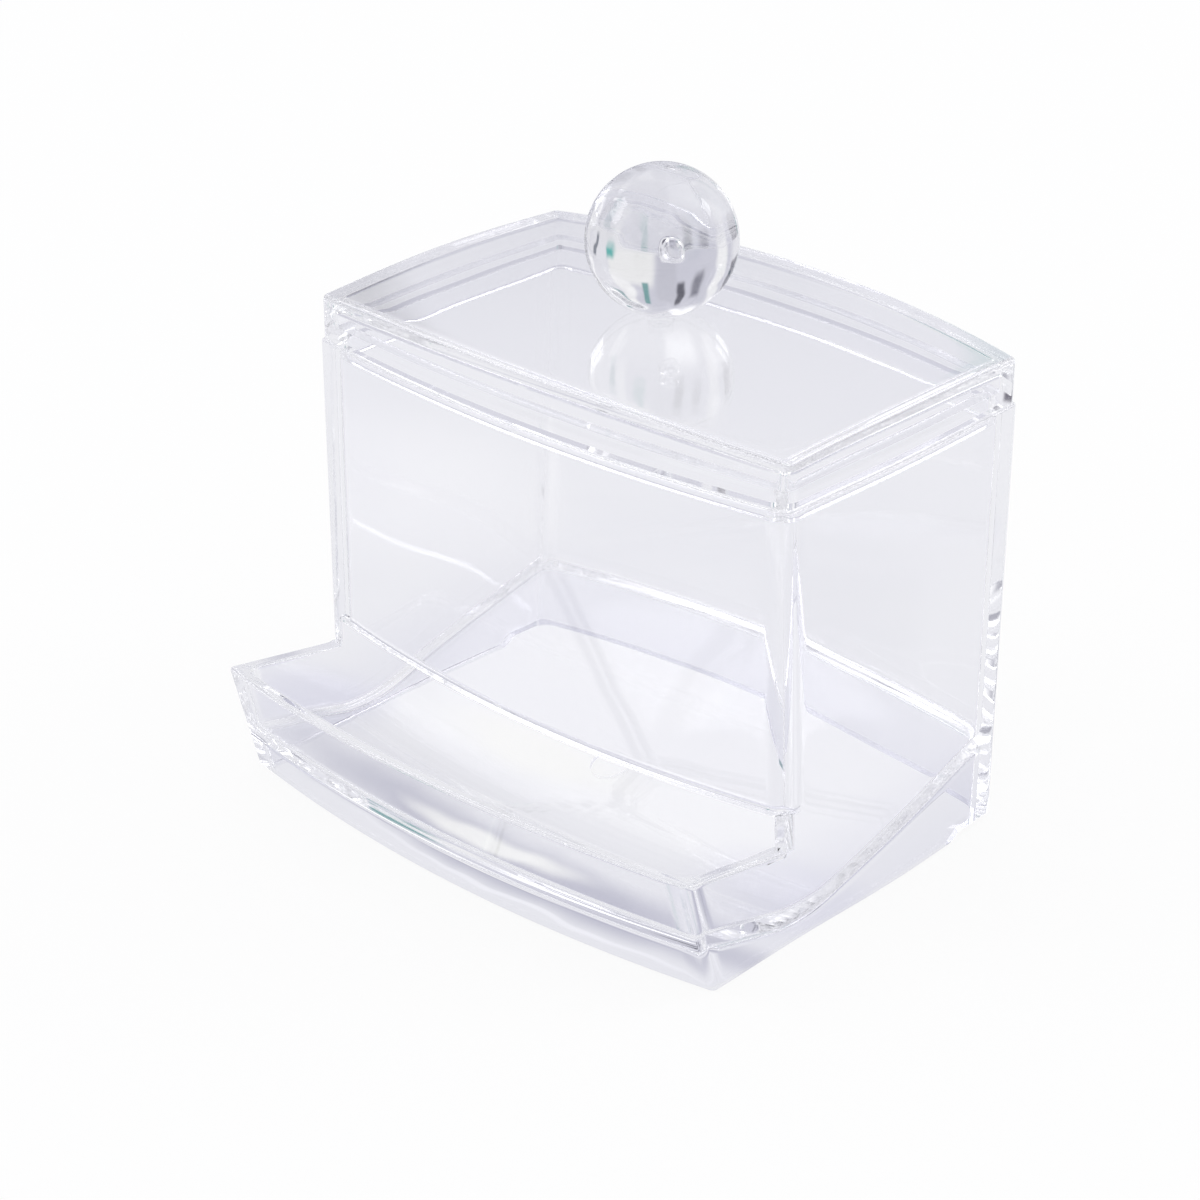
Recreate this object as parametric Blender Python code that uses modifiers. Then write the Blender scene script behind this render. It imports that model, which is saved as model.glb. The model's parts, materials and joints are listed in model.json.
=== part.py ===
"""A clear cotton swab holder: a hopper with a scooped tray in front, a lift-off lid and a ball knob.

Metres, +Z up. The origin lies on the table, under the middle of the object's length and width.
The tray faces -Y. Each moulding is drawn with straight walls first, cut and rounded there, and then
bent as a whole, so that bowed and leaning walls of neighbouring pieces always follow each other.
"""
import math

import bmesh
import bpy
from mathutils import Matrix, Vector

# Body: the hopper and the tray are one moulding
BODY_WIDTH = 0.0920
HOPPER_DEPTH = 0.0515
BODY_HEIGHT = 0.0680
WALL = 0.0024
OUTER_CORNER_RADIUS = 0.0010
INNER_CORNER_RADIUS = 0.0024
RIM_ROUNDING = 0.0004
LIP_ROUNDING = 0.0008

# How the straight walls are bent: bows are measured at mid-width, leans and flares at the foot.
# The side walls flare by SIDE_FLARE at the back and by TRAY_FLARE more at the tray's front
RIM_FRONT_BOW = 0.0039
LIP_FRONT_BOW = 0.0054
FOOT_FRONT_BOW = 0.0048
BACK_BOW = 0.0058
SIDE_BOW = 0.0006
SIDE_FLARE = 0.0012
TRAY_FLARE = 0.0004
FRONT_DRAFT = 0.0016
BACK_DRAFT = 0.0022
BOW_CHANGE_MARGIN = 0.0060

# Tray in front of the hopper
TRAY_REACH = 0.0219
LIP_HEIGHT = 0.0197
LIP_LEAN = 0.0051
LIP_CROWN = 0.0012
SIDE_RIM_HEIGHT = 0.0157

# Slot under the hopper's front wall, through which the swabs roll into the tray
SLOT_TOP = 0.0206

# Floor: a ramp from the back wall down to a rounded valley, then up to the tray's front wall
FLOOR_THICKNESS = 0.0022
VALLEY_HEIGHT = 0.0037
VALLEY_SETBACK = 0.0055
VALLEY_ROUNDING = 0.0070
RAMP_TOP_HEIGHT = 0.0152
TRAY_FLOOR_FRONT_HEIGHT = 0.0090
GATE_RADIUS = 0.0030
GATE_DEPTH = 0.0006
GATE_SETBACK = 0.0170

# Relief under the back wall, which starts with a slope at its front end
FOOT_RELIEF_HEIGHT = 0.0015
FOOT_RELIEF_LENGTH = 0.0115
FOOT_RELIEF_SLOPE = 0.0028
FOOT_ROUNDING = 0.0008

# Lid: a domed cap with a rib that drops inside the hopper's mouth
LID_INSET = 0.0004
LID_HEIGHT = 0.0067
LID_WALL = 0.0024
LID_TOP_ROUNDING = 0.0007
LID_CORNER_RADIUS = 0.0009
LID_CROWN_ACROSS = 0.0014
LID_CROWN_DEEP = 0.0008
SEAT_GAP = 0.0003
RIB_CLEARANCE = 0.0004
RIB_THICKNESS = 0.0020
RIB_DROP = 0.0027
RIB_ROOT_HEIGHT = 0.0018

# Knob: a ball with a short blind bore that stands over a post on the lid
KNOB_SETBACK = 0.0258
BALL_RADIUS = 0.01125
BALL_FLAT_RADIUS = 0.0030
BORE_RADIUS = 0.0020
BORE_DEPTH = 0.0036
POST_HEIGHT = 0.0028
POST_GAP = 0.0003

# Overrun of every cutter past the faces it opens, and the distance below which points are one
OVERRUN = 0.0010
TOUCH = 0.000006

HALF_WIDTH = BODY_WIDTH / 2
LIP_DRAFT = FRONT_DRAFT * (1 - LIP_HEIGHT / BODY_HEIGHT)
LIP_LEAN_ROUNDED_OFF = LIP_LEAN * LIP_ROUNDING / LIP_HEIGHT
FRONT_EXTENT = TRAY_REACH + LIP_FRONT_BOW - LIP_DRAFT - LIP_LEAN_ROUNDED_OFF
BACK_EXTENT = HOPPER_DEPTH + BACK_BOW
HOPPER_FRONT_Y = (FRONT_EXTENT - BACK_EXTENT) / 2
LID_SEAT = BODY_HEIGHT + SEAT_GAP
LID_TOP = LID_SEAT + LID_HEIGHT
CROWN_TOP = LID_TOP + LID_CROWN_ACROSS + LID_CROWN_DEEP
LID_ORIGIN = Vector((0.0, HOPPER_FRONT_Y + KNOB_SETBACK, LID_SEAT))

SLICES_ACROSS = 20
SLICES_DEEP = 10
SLICES_TRAY = 3
CORNER_SEGMENTS = 4
GATE_STEPS = 24
POST_STEPS = 24
BALL_STEPS = 40
BALL_POINTS = 20
FLOOR_ARC_POINTS = 9


def share_between(value, low, high):
    """How far value has gone from low to high, held between 0 and 1."""
    return min(max((value - low) / (high - low), 0.0), 1.0)


def clear_scene():
    for obj in list(bpy.context.scene.objects):
        bpy.data.objects.remove(obj, do_unlink=True)


def new_collection(name):
    collection = bpy.data.collections.new(name)
    bpy.context.scene.collection.children.link(collection)
    return collection


def clear_plastic(name, colour):
    """Transparent moulded plastic, as one Principled shader."""
    material = bpy.data.materials.new(name)
    material.use_nodes = True
    shader = material.node_tree.nodes["Principled BSDF"]
    shader.inputs["Base Color"].default_value = (*colour, 1.0)
    shader.inputs["Roughness"].default_value = 0.03
    shader.inputs["Metallic"].default_value = 0.0
    shader.inputs["Transmission Weight"].default_value = 1.0
    shader.inputs["IOR"].default_value = 1.58
    return material


def place(mesh, name, collection):
    obj = bpy.data.objects.new(name, mesh)
    collection.objects.link(obj)
    return obj


def as_cutter(obj):
    obj.hide_render = True
    obj.display_type = "WIRE"
    return obj


def side_outline_block(name, outline, half_width, collection):
    """A side view, drawn as (y, z) points, drawn out to both sides of the middle plane."""
    curve = bpy.data.curves.new(name + "_outline", "CURVE")
    curve.dimensions = "2D"
    curve.fill_mode = "BOTH"
    curve.extrude = half_width
    spline = curve.splines.new("POLY")
    spline.points.add(len(outline) - 1)
    for point, (y, z) in zip(spline.points, outline):
        point.co = (y, z, 0.0, 1.0)
    spline.use_cyclic_u = True
    drawing = place(curve, name + "_outline", collection)
    bpy.context.view_layer.update()
    evaluated = drawing.evaluated_get(bpy.context.evaluated_depsgraph_get())
    mesh = bpy.data.meshes.new_from_object(evaluated)
    bpy.data.objects.remove(drawing, do_unlink=True)
    turn = Matrix(((0, 0, 1, 0), (1, 0, 0, 0), (0, 1, 0, 0), (0, 0, 0, 1)))
    mesh.transform(turn)
    bm = bmesh.new()
    bm.from_mesh(mesh)
    bmesh.ops.remove_doubles(bm, verts=bm.verts, dist=TOUCH)
    bmesh.ops.dissolve_limit(bm, angle_limit=math.radians(0.5), verts=bm.verts, edges=bm.edges)
    bmesh.ops.recalc_face_normals(bm, faces=bm.faces)
    bm.to_mesh(mesh)
    bm.free()
    return place(mesh, name, collection)


def round_upright_edges(obj, radius, segments=CORNER_SEGMENTS):
    bm = bmesh.new()
    bm.from_mesh(obj.data)
    upright = []
    for edge in bm.edges:
        a, b = (v.co for v in edge.verts)
        if abs(a.x - b.x) + abs(a.y - b.y) < abs(a.z - b.z) / 100 and edge.calc_face_angle() > 1:
            upright.append(edge)
    bmesh.ops.bevel(bm, geom=upright, offset=radius, segments=segments, profile=0.5,
                    affect="EDGES", offset_type="OFFSET")
    bm.to_mesh(obj.data)
    bm.free()


def slab(name, half_width, y_front, y_back, z_low, z_high, corner_radius, collection):
    """A box between the given faces, with rounded upright corners."""
    bm = bmesh.new()
    size = Vector((2 * half_width, y_back - y_front, z_high - z_low))
    centre = Vector((0.0, (y_front + y_back) / 2, (z_low + z_high) / 2))
    bmesh.ops.create_cube(bm, size=1.0, matrix=Matrix.Translation(centre) @ Matrix.Diagonal((*size, 1.0)))
    mesh = bpy.data.meshes.new(name)
    bm.to_mesh(mesh)
    bm.free()
    obj = place(mesh, name, collection)
    round_upright_edges(obj, corner_radius)
    return obj


def combine(obj, other, operation):
    modifier = obj.modifiers.new(operation.lower() + "_" + other.name, "BOOLEAN")
    modifier.operation = operation
    modifier.solver = "EXACT"
    modifier.object = other


def round_edges(obj, wanted, width, segments=2):
    """Rounds the convex edges whose two ends both satisfy wanted(x, y, z)."""
    bm = bmesh.new()
    bm.from_mesh(obj.data)
    chosen = []
    for edge in bm.edges:
        if all(wanted(*v.co) for v in edge.verts) and edge.calc_face_angle_signed() > 0.6:
            chosen.append(edge)
    bmesh.ops.bevel(bm, geom=chosen, offset=width, segments=segments, profile=0.5, affect="EDGES",
                    offset_type="OFFSET", clamp_overlap=False)
    bm.to_mesh(obj.data)
    bm.free()


def near(a, b):
    return abs(a - b) < 2 * TOUCH


def apply_modifiers(obj):
    """Replaces the object's mesh with its evaluated one."""
    bpy.context.view_layer.update()
    evaluated = obj.evaluated_get(bpy.context.evaluated_depsgraph_get())
    mesh = bpy.data.meshes.new_from_object(evaluated)
    obj.modifiers.clear()
    obj.data = mesh


def slice_mesh(mesh, axis, places):
    """Cuts edges into the mesh where planes square to the axis cross it."""
    bm = bmesh.new()
    bm.from_mesh(mesh)
    normal = Vector((0.0, 0.0, 0.0))
    normal[axis] = 1.0
    for place_on_axis in places:
        geometry = bm.verts[:] + bm.edges[:] + bm.faces[:]
        bmesh.ops.bisect_plane(bm, geom=geometry, plane_co=normal * place_on_axis, plane_no=normal,
                               dist=TOUCH / 10)
    bm.to_mesh(mesh)
    bm.free()


def front_bow(z):
    """The front's bow: it grows from the foot to the lip's height and lessens up to the rim."""
    lip_share = share_between(z, 0.0, LIP_HEIGHT)
    rim_share = share_between(z, LIP_HEIGHT, BODY_HEIGHT)
    low_bow = FOOT_FRONT_BOW + (LIP_FRONT_BOW - FOOT_FRONT_BOW) * lip_share
    return low_bow + (RIM_FRONT_BOW - LIP_FRONT_BOW) * rim_share


def bend(point):
    """Moves a point of the straight drawing to its place on the bowed and leaning object."""
    x, y, z = point
    rise_share = share_between(z, 0.0, BODY_HEIGHT)
    across = 1 - (x / HALF_WIDTH) ** 2
    back_share = share_between(y, BOW_CHANGE_MARGIN, HOPPER_DEPTH - BOW_CHANGE_MARGIN)
    tray_share = share_between(-y, 0.0, TRAY_REACH - WALL)
    lip_share = share_between(z, 0.0, LIP_HEIGHT)
    front_share = share_between(-y, -HOPPER_DEPTH, TRAY_REACH)
    deep = max(1 - (2 * y / HOPPER_DEPTH - 1) ** 2, 0.0) ** 2
    widening = (SIDE_FLARE + TRAY_FLARE * front_share) * (1 - rise_share) + SIDE_BOW * deep
    new_x = x * (1 + widening / HALF_WIDTH)
    new_y = y + across * (BACK_BOW * back_share - front_bow(z) * (1 - back_share))
    new_y += (1 - rise_share) * (FRONT_DRAFT * (1 - back_share) - BACK_DRAFT * back_share)
    new_y += LIP_LEAN * tray_share * (1 - lip_share)
    new_z = z + LIP_CROWN * across * tray_share * lip_share
    return Vector((new_x, new_y + HOPPER_FRONT_Y, new_z))


def dome(point):
    """Lifts the lid's panel into a low dome and leaves its seat flat."""
    x, y, z = point
    lift = share_between(z, LID_SEAT, LID_TOP - LID_WALL)
    half_depth = HOPPER_DEPTH / 2
    across = max(1 - (x / HALF_WIDTH) ** 2, 0.0)
    deep = max(1 - ((y - half_depth) / half_depth) ** 2, 0.0)
    return Vector((x, y, z + lift * (LID_CROWN_ACROSS * across + LID_CROWN_DEEP * deep)))


def shape_mesh(mesh, function):
    for vertex in mesh.vertices:
        vertex.co = function(vertex.co)


def even_places(low, high, count):
    """The places that divide low to high into count equal lengths, without the ends."""
    return [low + (high - low) * i / count for i in range(1, count)]


def finish(obj, material, collection):
    obj.data.materials.clear()
    obj.data.materials.append(material)
    obj.data.shade_smooth()
    obj.data.set_sharp_from_angle(angle=math.radians(30))
    for owner in list(obj.users_collection):
        owner.objects.unlink(obj)
    collection.objects.link(obj)


def floor_line(offset):
    """The floor in the side view, front to back: two slopes joined by an arc, lowered by offset."""
    front = (-TRAY_REACH + WALL, TRAY_FLOOR_FRONT_HEIGHT)
    low = (VALLEY_SETBACK, VALLEY_HEIGHT)
    back = (HOPPER_DEPTH - WALL, RAMP_TOP_HEIGHT)
    points = [front]
    for step in range(FLOOR_ARC_POINTS):
        t = step / (FLOOR_ARC_POINTS - 1)
        start_share = VALLEY_ROUNDING / (low[0] - front[0])
        end_share = VALLEY_ROUNDING / (back[0] - low[0])
        start = [low[i] + (front[i] - low[i]) * start_share for i in range(2)]
        end = [low[i] + (back[i] - low[i]) * end_share for i in range(2)]
        points.append([(1 - t) ** 2 * start[i] + 2 * t * (1 - t) * low[i] + t * t * end[i] for i in range(2)])
    points.append(back)
    return [(y, z - offset) for y, z in points]


def body_block(collection):
    outline = [(-TRAY_REACH, 0.0), (HOPPER_DEPTH, 0.0), (HOPPER_DEPTH, BODY_HEIGHT), (0.0, BODY_HEIGHT),
               (0.0, SIDE_RIM_HEIGHT), (-TRAY_REACH, LIP_HEIGHT)]
    block = side_outline_block("body", outline, HALF_WIDTH, collection)
    slice_mesh(block.data, 2, [SIDE_RIM_HEIGHT])
    round_upright_edges(block, OUTER_CORNER_RADIUS)
    return block


def room_cutter(collection):
    """The space for the swabs: the hopper's bore, the slot and the tray, above the floor."""
    front = -TRAY_REACH + WALL
    back = HOPPER_DEPTH - WALL
    above_rim = BODY_HEIGHT + OVERRUN
    outline = floor_line(0.0)
    outline += [(back, above_rim), (WALL, above_rim), (WALL, SLOT_TOP), (front, SLOT_TOP)]
    cutter = side_outline_block("room_cutter", outline, HALF_WIDTH - WALL, collection)
    slice_mesh(cutter.data, 2, [SLOT_TOP])
    round_upright_edges(cutter, INNER_CORNER_RADIUS)
    return as_cutter(cutter)


def hollow_cutter(collection):
    """The hollow under the floor, open to the table."""
    front = -TRAY_REACH + WALL
    back = HOPPER_DEPTH - WALL
    outline = [(back, -OVERRUN), (front, -OVERRUN)]
    outline += floor_line(FLOOR_THICKNESS)
    cutter = side_outline_block("hollow_cutter", outline, HALF_WIDTH - WALL, collection)
    round_upright_edges(cutter, INNER_CORNER_RADIUS)
    return as_cutter(cutter)


def gate_cutter(collection):
    """The shallow round mark that the mould's inlet leaves under the ramp, square to its slope."""
    run = HOPPER_DEPTH - WALL - VALLEY_SETBACK
    rise = RAMP_TOP_HEIGHT - VALLEY_HEIGHT
    ramp_share = (GATE_SETBACK - VALLEY_SETBACK) / run
    underside = Vector((0.0, GATE_SETBACK, VALLEY_HEIGHT + rise * ramp_share - FLOOR_THICKNESS))
    bm = bmesh.new()
    bmesh.ops.create_cone(bm, cap_ends=True, segments=GATE_STEPS, radius1=GATE_RADIUS,
                          radius2=GATE_RADIUS, depth=2 * GATE_DEPTH)
    mesh = bpy.data.meshes.new("gate_cutter")
    bm.to_mesh(mesh)
    bm.free()
    cutter = as_cutter(place(mesh, "gate_cutter", collection))
    cutter.location = underside
    cutter.rotation_euler = (math.atan2(rise, run), 0.0, 0.0)
    return cutter


def relief_cutter(collection):
    """The low gap under the back wall, as wide as the body."""
    front = HOPPER_DEPTH - FOOT_RELIEF_LENGTH
    back = HOPPER_DEPTH + OVERRUN
    front_below = front - FOOT_RELIEF_SLOPE * OVERRUN / FOOT_RELIEF_HEIGHT
    outline = [(front_below, -OVERRUN), (back, -OVERRUN), (back, FOOT_RELIEF_HEIGHT),
               (front + FOOT_RELIEF_SLOPE, FOOT_RELIEF_HEIGHT)]
    return as_cutter(side_outline_block("relief_cutter", outline, HALF_WIDTH + OVERRUN, collection))


def tray_rim_height(y):
    return SIDE_RIM_HEIGHT - (LIP_HEIGHT - SIDE_RIM_HEIGHT) * y / TRAY_REACH


def on_outer_foot(x, y, z):
    inside = OUTER_CORNER_RADIUS + RIM_ROUNDING
    return near(z, 0.0) and (abs(x) > HALF_WIDTH - inside or y < inside - TRAY_REACH)


def make_body(parts, cutters, material):
    body = body_block(parts)
    combine(body, room_cutter(cutters), "DIFFERENCE")
    combine(body, hollow_cutter(cutters), "DIFFERENCE")
    combine(body, relief_cutter(cutters), "DIFFERENCE")
    combine(body, gate_cutter(cutters), "DIFFERENCE")
    apply_modifiers(body)
    round_edges(body, lambda x, y, z: near(z, BODY_HEIGHT), RIM_ROUNDING)
    round_edges(body, on_outer_foot, FOOT_ROUNDING)
    round_edges(body, lambda x, y, z: y < WALL / 2 and near(z, tray_rim_height(y)), LIP_ROUNDING)
    round_edges(body, lambda x, y, z: near(z, SLOT_TOP) and abs(x) < HALF_WIDTH - WALL, RIM_ROUNDING)
    slice_mesh(body.data, 0, even_places(-HALF_WIDTH, HALF_WIDTH, SLICES_ACROSS))
    tray_places = even_places(WALL - TRAY_REACH, 0.0, SLICES_TRAY)
    slice_mesh(body.data, 1, [0.0] + tray_places + even_places(0.0, HOPPER_DEPTH, SLICES_DEEP))
    shape_mesh(body.data, bend)
    finish(body, material, parts)
    return body


def lid_slab(name, inset, radius, z_low, z_high, collection):
    """One layer of the lid, drawn in from the lid's outer faces by inset."""
    edge = LID_INSET + inset
    return slab(name, HALF_WIDTH - edge, edge, HOPPER_DEPTH - edge, z_low, z_high, radius, collection)


def make_lid(parts, cutters, material):
    """The cap, with its origin on its seat, under the post."""
    ceiling = LID_TOP - LID_WALL
    rib_foot = BODY_HEIGHT - RIB_DROP
    rib_inset = WALL - LID_INSET + RIB_CLEARANCE
    root_inset = rib_inset + RIB_THICKNESS
    rib_radius = INNER_CORNER_RADIUS - RIB_CLEARANCE
    rib_top = LID_SEAT + RIB_ROOT_HEIGHT / 2
    recess_foot = LID_SEAT + RIB_ROOT_HEIGHT
    lid = lid_slab("lid", 0.0, LID_CORNER_RADIUS, LID_SEAT, LID_TOP, parts)
    rib = lid_slab("rib_core", rib_inset, rib_radius, rib_foot, rib_top, cutters)
    throat = lid_slab("throat_cutter", root_inset, LID_CORNER_RADIUS, rib_foot - OVERRUN,
                      ceiling - OVERRUN, cutters)
    recess = lid_slab("recess_cutter", LID_WALL, LID_CORNER_RADIUS, recess_foot, ceiling, cutters)
    combine(lid, as_cutter(rib), "UNION")
    combine(lid, as_cutter(throat), "DIFFERENCE")
    combine(lid, as_cutter(recess), "DIFFERENCE")
    apply_modifiers(lid)
    round_edges(lid, lambda x, y, z: near(z, LID_TOP), LID_TOP_ROUNDING, 3)
    round_edges(lid, lambda x, y, z: near(z, rib_foot), RIM_ROUNDING)
    slice_mesh(lid.data, 0, even_places(-HALF_WIDTH, HALF_WIDTH, SLICES_ACROSS))
    slice_mesh(lid.data, 1, even_places(0.0, HOPPER_DEPTH, SLICES_DEEP))
    shape_mesh(lid.data, dome)
    shape_mesh(lid.data, bend)
    combine(lid, as_cutter(lid_post(cutters)), "UNION")
    apply_modifiers(lid)
    lid.data.transform(Matrix.Translation(-LID_ORIGIN))
    lid.location = LID_ORIGIN
    finish(lid, material, parts)
    return lid


def lid_post(collection):
    """The post on the lid, rooted in the middle of the panel's thickness."""
    radius = BORE_RADIUS - POST_GAP
    top = CROWN_TOP + POST_HEIGHT
    profile = [(0.0, top), (radius - RIM_ROUNDING, top), (radius, top - RIM_ROUNDING)]
    profile += [(radius, CROWN_TOP - LID_WALL / 2), (0.0, CROWN_TOP - LID_WALL / 2)]
    post = turned("post", profile, POST_STEPS, collection)
    apply_modifiers(post)
    post.location = (LID_ORIGIN.x, LID_ORIGIN.y, 0.0)
    return post


def turned(name, profile, steps, collection):
    """A round piece, turned from a profile of (radius, height) points down its outer side."""
    mesh = bpy.data.meshes.new(name)
    edges = [(i, i + 1) for i in range(len(profile) - 1)]
    mesh.from_pydata([(r, 0.0, z) for r, z in profile], edges, [])
    obj = place(mesh, name, collection)
    screw = obj.modifiers.new("turning", "SCREW")
    screw.axis = "Z"
    screw.steps = steps
    screw.render_steps = steps
    screw.use_merge_vertices = True
    screw.merge_threshold = TOUCH
    return obj


def arc(centre_r, centre_z, radius, start, end, count):
    """Points of an arc in the (radius, height) plane, angles in degrees from straight out."""
    points = []
    for i in range(count):
        angle = math.radians(start + (end - start) * i / (count - 1))
        points.append((centre_r + radius * math.cos(angle), centre_z + radius * math.sin(angle)))
    return points


def make_knob(lid, parts, material):
    """The ball, with its origin in the middle of its flat."""
    flat_depth = math.sqrt(BALL_RADIUS ** 2 - BALL_FLAT_RADIUS ** 2)
    flat_angle = -math.degrees(math.asin(flat_depth / BALL_RADIUS))
    profile = arc(0.0, flat_depth, BALL_RADIUS, 90, flat_angle, BALL_POINTS)
    profile += [(BORE_RADIUS, 0.0)]
    profile += arc(0.0, BORE_DEPTH - BORE_RADIUS, BORE_RADIUS, 0, 90, CORNER_SEGMENTS + 1)
    profile[0] = (0.0, flat_depth + BALL_RADIUS)
    profile[-1] = (0.0, BORE_DEPTH)
    knob = turned("knob", profile, BALL_STEPS, parts)
    apply_modifiers(knob)
    knob.parent = lid
    knob.location = (0.0, 0.0, CROWN_TOP + SEAT_GAP - LID_SEAT)
    finish(knob, material, parts)
    return knob


clear_scene()
holder = new_collection("cotton_swab_holder")
cutting = new_collection("cutters")
body_plastic = clear_plastic("clear_body", (0.93, 0.94, 0.97))
lid_plastic = clear_plastic("clear_lid", (0.93, 0.94, 0.97))
knob_plastic = clear_plastic("clear_knob", (0.92, 0.94, 0.98))
make_body(holder, cutting, body_plastic)
lid_piece = make_lid(holder, cutting, lid_plastic)
make_knob(lid_piece, holder, knob_plastic)
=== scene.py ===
# %% [markdown]
# # A clear cotton swab holder
#
# The real object is a bathroom dispenser moulded from clear plastic. Swabs lie across a hopper,
# roll down a ramp and out through a low slot into a small tray. A loose domed lid with a ball for a
# knob closes the top. Everything is transparent, so there is nothing to see but edges, thickness
# and bent light. The picture depends on closed meshes, true wall thickness and clean normals.
#
# The solids of the CAD model have the right shape but few faces, and a transparent piece shows
# every facet. So each of the three mouldings is made again here, finer and with all its small
# fillets, in the same place and with the same sizes.

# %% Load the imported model
import json
import math

import bmesh
import bpy
from mathutils import Matrix, Vector

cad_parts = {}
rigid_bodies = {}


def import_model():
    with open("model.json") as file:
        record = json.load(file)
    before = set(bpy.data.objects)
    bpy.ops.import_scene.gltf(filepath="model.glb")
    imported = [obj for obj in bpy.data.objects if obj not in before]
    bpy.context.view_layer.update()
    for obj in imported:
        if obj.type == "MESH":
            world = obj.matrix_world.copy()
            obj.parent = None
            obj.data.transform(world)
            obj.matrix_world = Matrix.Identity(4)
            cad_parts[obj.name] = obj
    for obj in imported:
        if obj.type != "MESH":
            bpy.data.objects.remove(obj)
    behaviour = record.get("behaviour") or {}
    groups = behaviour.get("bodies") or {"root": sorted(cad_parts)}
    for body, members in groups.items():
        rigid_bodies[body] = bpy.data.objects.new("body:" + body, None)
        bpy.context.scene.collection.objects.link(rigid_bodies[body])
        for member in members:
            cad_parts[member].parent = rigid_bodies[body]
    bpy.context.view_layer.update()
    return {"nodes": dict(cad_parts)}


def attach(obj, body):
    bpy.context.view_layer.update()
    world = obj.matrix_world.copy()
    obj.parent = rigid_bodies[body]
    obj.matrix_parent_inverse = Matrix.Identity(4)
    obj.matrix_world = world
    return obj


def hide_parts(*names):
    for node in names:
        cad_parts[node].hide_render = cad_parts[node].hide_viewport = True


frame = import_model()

# %% [markdown]
# ## How the mouldings are drawn
#
# Both mouldings have bowed fronts and backs, leaning walls and rounded corners. Modelling curved
# walls directly would need a careful surface for each. A mould maker's trick is simpler: draw the
# piece with straight walls, cut and round it there, then bend the finished mesh by one formula.
# Neighbouring pieces that share the formula always fit each other.
#
# These are the hopper's main sizes in metres. The hopper's front is at y = 0 while a piece is
# straight, and the tray lies on the negative side of it.

# %% Sizes of the body
MM = 0.001
BODY_WIDTH = 92.0 * MM
HOPPER_DEPTH = 51.5 * MM
BODY_HEIGHT = 68.0 * MM
WALL = 2.4 * MM
HALF_WIDTH = BODY_WIDTH / 2
TRAY_REACH = 21.9 * MM
LIP_HEIGHT = 19.7 * MM
SIDE_RIM_HEIGHT = 15.7 * MM
SLOT_TOP = 20.6 * MM

# %% Sizes of the bend
RIM_FRONT_BOW = 3.9 * MM
LIP_FRONT_BOW = 5.4 * MM
FOOT_FRONT_BOW = 4.8 * MM
BACK_BOW = 5.8 * MM
SIDE_BOW = 0.6 * MM
SIDE_FLARE = 1.2 * MM
TRAY_FLARE = 0.4 * MM
FRONT_DRAFT = 1.6 * MM
BACK_DRAFT = 2.2 * MM
BOW_CHANGE_MARGIN = 6.0 * MM
LIP_LEAN = 5.1 * MM
LIP_CROWN = 1.2 * MM
HOPPER_FRONT_Y = -15.672 * MM


# %% The bending formula
def share_between(value, low, high):
    """How far value has gone from low to high, held between 0 and 1."""
    return min(max((value - low) / (high - low), 0.0), 1.0)


def front_bow(z):
    """The front bows a little more at the tray's lip than at the foot and at the rim."""
    low_bow = FOOT_FRONT_BOW + (LIP_FRONT_BOW - FOOT_FRONT_BOW) * share_between(z, 0.0, LIP_HEIGHT)
    return low_bow + (RIM_FRONT_BOW - LIP_FRONT_BOW) * share_between(z, LIP_HEIGHT, BODY_HEIGHT)


def bend(point):
    """Moves a point of the straight drawing to its place on the bowed and leaning object."""
    x, y, z = point
    lower = 1 - share_between(z, 0.0, BODY_HEIGHT)
    across = 1 - (x / HALF_WIDTH) ** 2
    back_share = share_between(y, BOW_CHANGE_MARGIN, HOPPER_DEPTH - BOW_CHANGE_MARGIN)
    tray_share = share_between(-y, 0.0, TRAY_REACH - WALL)
    lip_share = share_between(z, 0.0, LIP_HEIGHT)
    front_share = share_between(-y, -HOPPER_DEPTH, TRAY_REACH)
    middle = max(1 - (2 * y / HOPPER_DEPTH - 1) ** 2, 0.0) ** 2
    widening = (SIDE_FLARE + TRAY_FLARE * front_share) * lower + SIDE_BOW * middle
    new_y = y + across * (BACK_BOW * back_share - front_bow(z) * (1 - back_share))
    new_y += lower * (FRONT_DRAFT * (1 - back_share) - BACK_DRAFT * back_share)
    new_y += LIP_LEAN * tray_share * (1 - lip_share)
    new_z = z + LIP_CROWN * across * tray_share * lip_share
    return Vector((x * (1 + widening / HALF_WIDTH), new_y + HOPPER_FRONT_Y, new_z))


print("front of the lip at mid-width:", bend((0, -TRAY_REACH, LIP_HEIGHT)))

# %% [markdown]
# ## Small tools for straight blocks
#
# Every straight piece starts as a side view pushed out to both sides. Booleans take the hollows out
# of it, and a bevel on chosen edges gives the fillets. A bevel on everything would also round the
# edges that have to stay put, so each call says with a small test which edges it wants.


# %% Blocks
def new_object(name, bm):
    mesh = bpy.data.meshes.new(name)
    bm.normal_update()
    bm.to_mesh(mesh)
    bm.free()
    obj = bpy.data.objects.new(name, mesh)
    bpy.context.scene.collection.objects.link(obj)
    return obj


def block_from_side_view(name, outline, half_width):
    """A closed block: the side view's (y, z) points pushed out to both sides of the middle."""
    bm = bmesh.new()
    left = [bm.verts.new((-half_width, y, z)) for y, z in outline]
    right = [bm.verts.new((half_width, y, z)) for y, z in outline]
    bm.faces.new(left)
    bm.faces.new(list(reversed(right)))
    for i in range(len(outline)):
        j = (i + 1) % len(outline)
        bm.faces.new((left[j], left[i], right[i], right[j]))
    bmesh.ops.recalc_face_normals(bm, faces=bm.faces)
    return new_object(name, bm)


# %% Slices and fillets
SLICE_TOLERANCE = 0.0005 * MM
SHARP_TURN = 0.6
SQUARE_TURN = 1.0


def edit(obj, change):
    """Runs change(bm) on the object's mesh."""
    bm = bmesh.new()
    bm.from_mesh(obj.data)
    change(bm)
    bm.to_mesh(obj.data)
    bm.free()


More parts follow.
